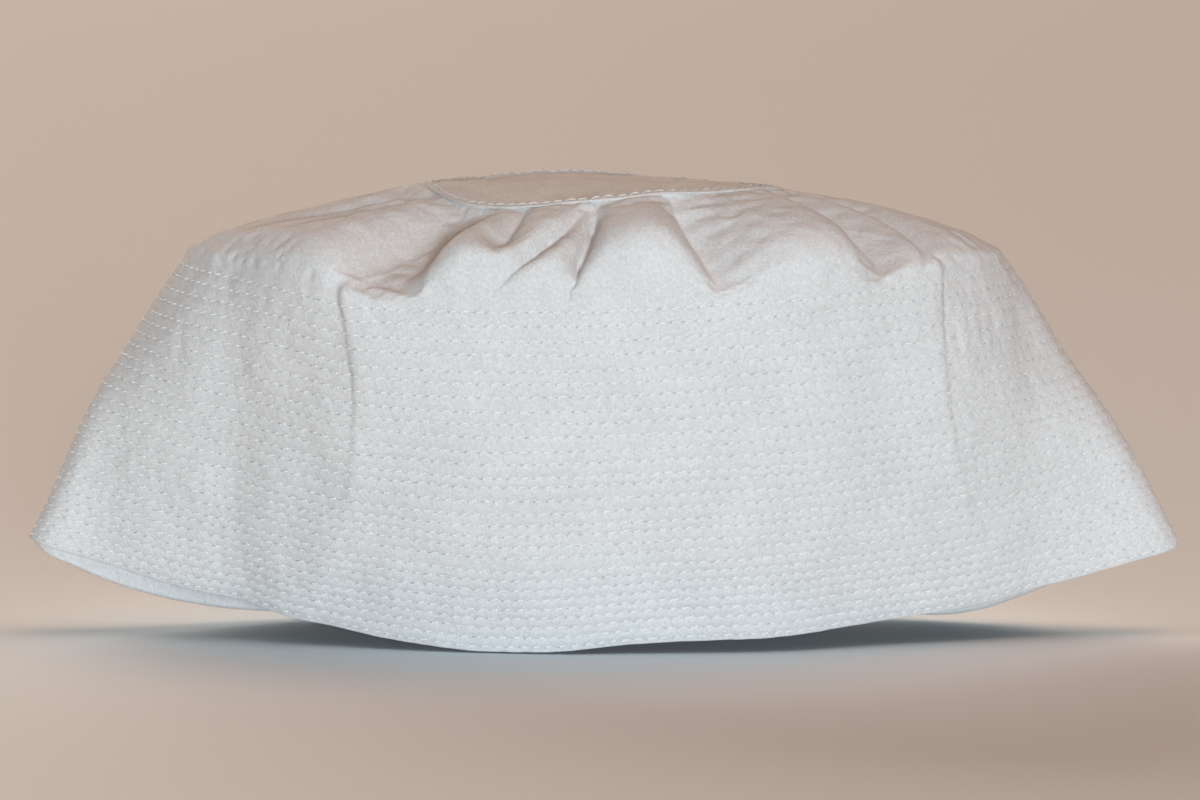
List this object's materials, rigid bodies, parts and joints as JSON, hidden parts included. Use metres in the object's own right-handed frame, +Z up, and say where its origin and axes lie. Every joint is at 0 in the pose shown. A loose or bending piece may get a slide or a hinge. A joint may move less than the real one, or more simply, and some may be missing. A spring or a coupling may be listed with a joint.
{
  "type": "quilted cap",
  "caption": "Low soft cotton cap: a row-quilted, flared band with a turned hem, its crown gathered into a small flat disc, standing part-flattened.",
  "frame": {"origin": "under the middle of the cap, on the surface that the hem stands on", "axes": "+X along the wide way of the part-flattened cap, the front faces -Y, +Z up from the hem to the crown disc"},
  "size_m": [0.2702, 0.1288, 0.1067],
  "materials": {
    "shell_cotton": "white cotton twill, pressed, matte",
    "disc_cotton": "white cotton twill cut as a round disc, matte",
    "interlining_cotton": "dense unbleached cotton stiffening, matte",
    "lining_cotton": "smooth plain-woven cotton lining, matte",
    "disc_backing_cotton": "plain-woven cotton under the disc, matte",
    "sewing_thread": "white cotton-wrapped sewing thread, slight gloss"
  },
  "bodies": {
    "root": {"outer_panel": "shell_cotton", "band_interlining": "interlining_cotton", "band_lining": "lining_cotton", "crown_disc": "disc_cotton", "disc_backing": "disc_backing_cotton", "gathering_thread": "sewing_thread", "disc_topstitch": "sewing_thread", "back_seam_thread": "sewing_thread", "quilting_row_01": "sewing_thread", "quilting_row_02": "sewing_thread", "quilting_row_03": "sewing_thread", "quilting_row_04": "sewing_thread", "quilting_row_05": "sewing_thread", "quilting_row_06": "sewing_thread", "quilting_row_07": "sewing_thread", "quilting_row_08": "sewing_thread", "quilting_row_09": "sewing_thread", "quilting_row_10": "sewing_thread", "quilting_row_11": "sewing_thread", "quilting_row_12": "sewing_thread", "quilting_row_13": "sewing_thread", "quilting_row_14": "sewing_thread", "quilting_row_15": "sewing_thread", "quilting_row_16": "sewing_thread", "quilting_row_17": "sewing_thread", "quilting_row_18": "sewing_thread", "quilting_row_19": "sewing_thread", "quilting_row_20": "sewing_thread", "quilting_row_21": "sewing_thread", "quilting_row_22": "sewing_thread", "quilting_row_23": "sewing_thread", "quilting_row_24": "sewing_thread", "quilting_row_25": "sewing_thread", "quilting_row_26": "sewing_thread", "quilting_row_27": "sewing_thread", "quilting_row_28": "sewing_thread", "hem_edge_stitch": "sewing_thread"}
  },
  "joints": []
}
